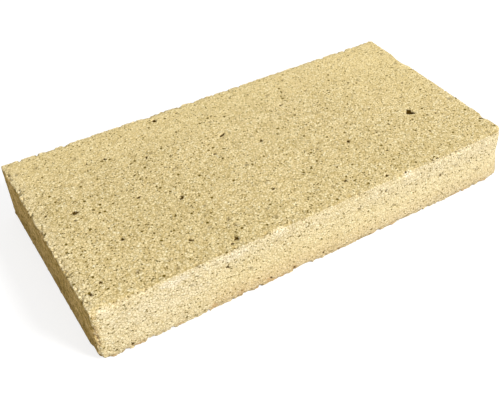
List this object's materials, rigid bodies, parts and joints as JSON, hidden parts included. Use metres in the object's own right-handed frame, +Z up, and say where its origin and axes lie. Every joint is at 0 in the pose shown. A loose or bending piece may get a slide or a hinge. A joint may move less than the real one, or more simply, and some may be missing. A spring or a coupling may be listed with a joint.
{
  "type": "refractory firebrick",
  "caption": "Thin rectangular fireclay brick in split format, buff and coarse-grained with chipped arrises, laid flat to line fireplaces, ovens and kilns.",
  "frame": {"origin": "middle of the bottom bed face, on the floor that the brick lies on", "axes": "+X along the brick's length, +Z up through its thickness, -Y out of the long side that faces the viewer"},
  "size_m": [0.23, 0.114, 0.032],
  "materials": {
    "fired_clay": "matte"
  },
  "bodies": {
    "root": {"firebrick": "fired_clay"}
  },
  "joints": []
}
